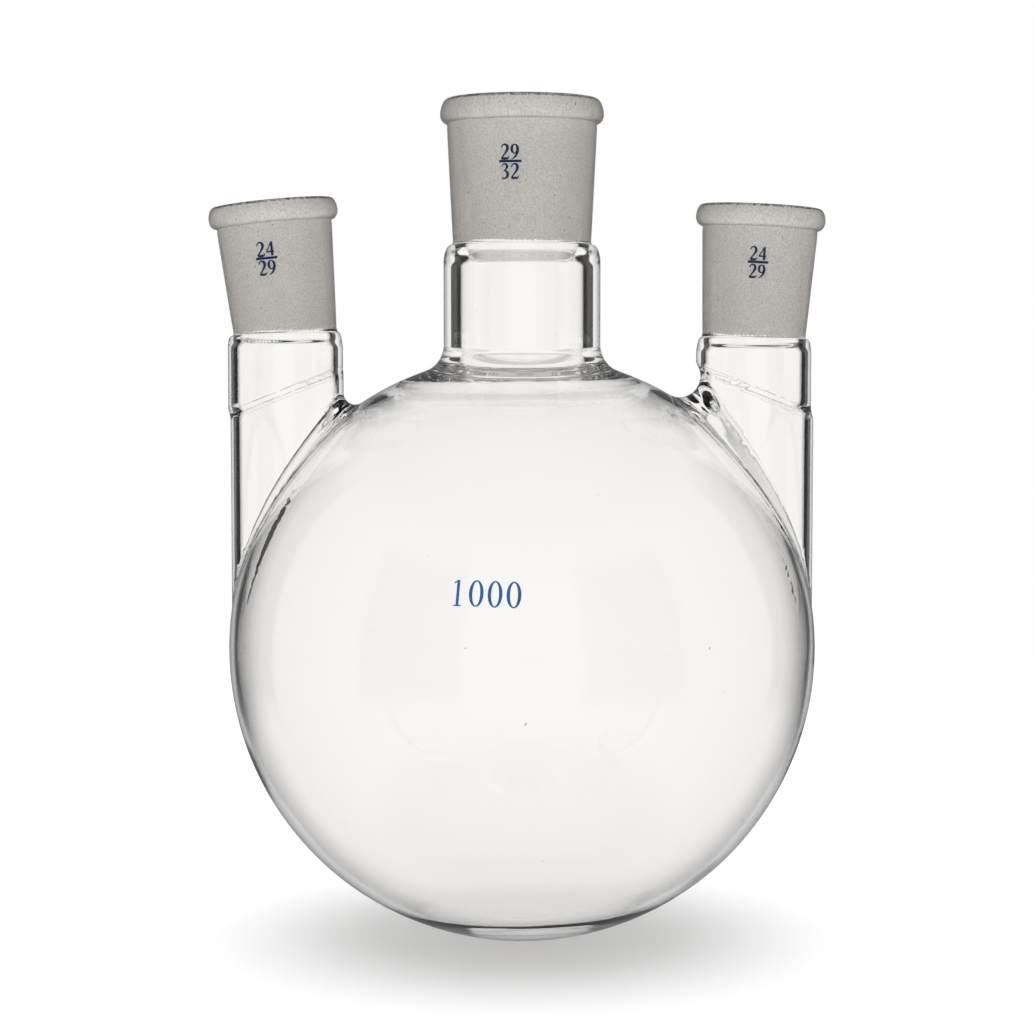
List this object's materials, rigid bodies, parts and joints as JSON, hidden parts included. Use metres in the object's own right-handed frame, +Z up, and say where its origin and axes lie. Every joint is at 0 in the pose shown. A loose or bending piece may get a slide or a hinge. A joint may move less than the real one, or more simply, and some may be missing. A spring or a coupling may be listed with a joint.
{
  "type": "three neck flask",
  "caption": "Round bottom glass flask with a wide upright centre neck and two narrower, slightly splayed side necks, each ending in a ground tapered socket.",
  "frame": {"origin": "lowest point of the round bulb, on the axis of the bulb and of the centre neck", "axes": "+Z up along the centre neck, the side necks at -X and +X, the printed face towards -Y"},
  "size_m": [0.1382, 0.132, 0.1889],
  "materials": {
    "clear_glass": "clear, blown and fire polished",
    "ground_glass": "ground matt inside the sockets",
    "blue_enamel": "fired on, slightly glossy"
  },
  "bodies": {
    "root": {"flask": "clear_glass"}
  },
  "joints": []
}
